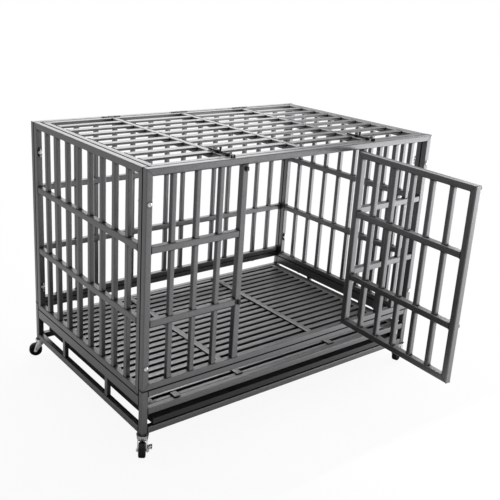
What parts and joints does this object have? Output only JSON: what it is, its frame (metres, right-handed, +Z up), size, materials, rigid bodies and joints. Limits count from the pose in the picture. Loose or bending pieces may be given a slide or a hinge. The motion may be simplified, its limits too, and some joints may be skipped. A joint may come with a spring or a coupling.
{
  "type": "dog crate",
  "caption": "Heavy duty dog crate of welded square tube with a hinged front door, a hinged roof lid, a slatted deck over a sliding waste tray and swivel castors.",
  "frame": {"origin": "on the floor, under the middle of the crate's footprint", "axes": "+X along the length to the right, -Y out of the front with the door, +Z up"},
  "size_m": [1.1566, 1.1848, 0.8575],
  "materials": {
    "powder_coat": "dark silver hammertone powder coat, satin",
    "zinc_plate": "bright zinc plate",
    "black_steel": "black plated steel, satin",
    "wheel_rubber": "matt black",
    "tray_plastic": "fine grained"
  },
  "bodies": {
    "crate": {"base_frame": "powder_coat", "tray_runners": "powder_coat", "deck_ledges": "powder_coat", "floor_deck": "powder_coat", "deck_clips": "powder_coat", "left_end_panel": "powder_coat", "right_end_panel": "powder_coat", "back_panel": "powder_coat", "front_panel": "powder_coat", "corner_bolts": "zinc_plate", "wing_nuts": "zinc_plate", "base_screws": "zinc_plate", "door_post_knuckles": "powder_coat", "door_hinge_pins": "zinc_plate", "door_keepers": "black_steel", "lid_rests": "powder_coat", "roof_knuckles": "powder_coat", "lid_hinge_pins": "zinc_plate", "lid_keepers": "black_steel", "castor_stems": "zinc_plate"},
    "door": {"front_door": "powder_coat", "door_knuckles": "powder_coat", "door_latch_guides": "black_steel"},
    "upper_door_bolt": {"upper_door_bolt": "black_steel"},
    "lower_door_bolt": {"lower_door_bolt": "black_steel"},
    "lid": {"roof_lid": "powder_coat", "lid_knuckles": "powder_coat", "lid_latch_guides": "black_steel"},
    "left_lid_bolt": {"left_lid_bolt": "black_steel"},
    "right_lid_bolt": {"right_lid_bolt": "black_steel"},
    "tray": {"waste_tray": "tray_plastic"},
    "front_left_castor": {"front_left_fork": "zinc_plate", "front_left_axle": "zinc_plate"},
    "front_left_wheel": {"front_left_wheel": "wheel_rubber"},
    "front_left_brake": {"front_left_brake": "zinc_plate"},
    "front_right_castor": {"front_right_fork": "zinc_plate", "front_right_axle": "zinc_plate"},
    "front_right_wheel": {"front_right_wheel": "wheel_rubber"},
    "front_right_brake": {"front_right_brake": "zinc_plate"},
    "back_left_castor": {"back_left_fork": "zinc_plate", "back_left_axle": "zinc_plate"},
    "back_left_wheel": {"back_left_wheel": "wheel_rubber"},
    "back_right_castor": {"back_right_fork": "zinc_plate", "back_right_axle": "zinc_plate"},
    "back_right_wheel": {"back_right_wheel": "wheel_rubber"}
  },
  "joints": [
    {"name": "door_swing", "type": "hinge", "parent": "crate", "child": "door", "pos_m": [0.2265, -0.363, 0.521], "axis": [0, 0, 1], "range_deg": [-86, 84]},
    {"name": "upper_door_bolt_slide", "type": "slide", "parent": "door", "child": "upper_door_bolt", "axis": [-0.0698, -0.9976, 0], "range_m": [0, 0.026]},
    {"name": "lower_door_bolt_slide", "type": "slide", "parent": "door", "child": "lower_door_bolt", "axis": [-0.0698, -0.9976, 0], "range_m": [0, 0.026]},
    {"name": "lid_swing", "type": "hinge", "parent": "crate", "child": "lid", "pos_m": [0, 0.3335, 0.837], "axis": [-1, 0, 0], "range_deg": [0, 110]},
    {"name": "left_lid_bolt_slide", "type": "slide", "parent": "lid", "child": "left_lid_bolt", "axis": [0, -1, 0], "range_m": [0, 0.026]},
    {"name": "right_lid_bolt_slide", "type": "slide", "parent": "lid", "child": "right_lid_bolt", "axis": [0, -1, 0], "range_m": [0, 0.026]},
    {"name": "tray_slide", "type": "slide", "parent": "crate", "child": "tray", "axis": [0, -1, 0], "range_m": [0, 0.62]},
    {"name": "front_left_swivel", "type": "hinge", "parent": "crate", "child": "front_left_castor", "pos_m": [-0.55, -0.348, 0.055], "axis": [0, 0, 1], "continuous": true},
    {"name": "front_left_roll", "type": "hinge", "parent": "front_left_castor", "child": "front_left_wheel", "pos_m": [-0.55951, -0.36209, 0.0225], "axis": [0.829, -0.5592, 0], "continuous": true},
    {"name": "front_left_brake_press", "type": "hinge", "parent": "front_left_castor", "child": "front_left_brake", "pos_m": [-0.55951, -0.36209, 0.0225], "axis": [0.829, -0.5592, 0], "range_deg": [0, 25]},
    {"name": "front_right_swivel", "type": "hinge", "parent": "crate", "child": "front_right_castor", "pos_m": [0.55, -0.348, 0.055], "axis": [0, 0, 1], "continuous": true},
    {"name": "front_right_roll", "type": "hinge", "parent": "front_right_castor", "child": "front_right_wheel", "pos_m": [0.53403, -0.35381, 0.0225], "axis": [0.342, -0.9397, 0], "continuous": true},
    {"name": "front_right_brake_press", "type": "hinge", "parent": "front_right_castor", "child": "front_right_brake", "pos_m": [0.53403, -0.35381, 0.0225], "axis": [0.342, -0.9397, 0], "range_deg": [0, 25]},
    {"name": "back_left_swivel", "type": "hinge", "parent": "crate", "child": "back_left_castor", "pos_m": [-0.55, 0.348, 0.055], "axis": [0, 0, 1], "continuous": true},
    {"name": "back_left_roll", "type": "hinge", "parent": "back_left_castor", "child": "back_left_wheel", "pos_m": [-0.56541, 0.35518, 0.0225], "axis": [-0.4226, -0.9063, 0], "continuous": true},
    {"name": "back_right_swivel", "type": "hinge", "parent": "crate", "child": "back_right_castor", "pos_m": [0.55, 0.348, 0.055], "axis": [0, 0, 1], "continuous": true},
    {"name": "back_right_roll", "type": "hinge", "parent": "back_right_castor", "child": "back_right_wheel", "pos_m": [0.53403, 0.34219, 0.0225], "axis": [0.342, -0.9397, 0], "continuous": true}
  ]
}
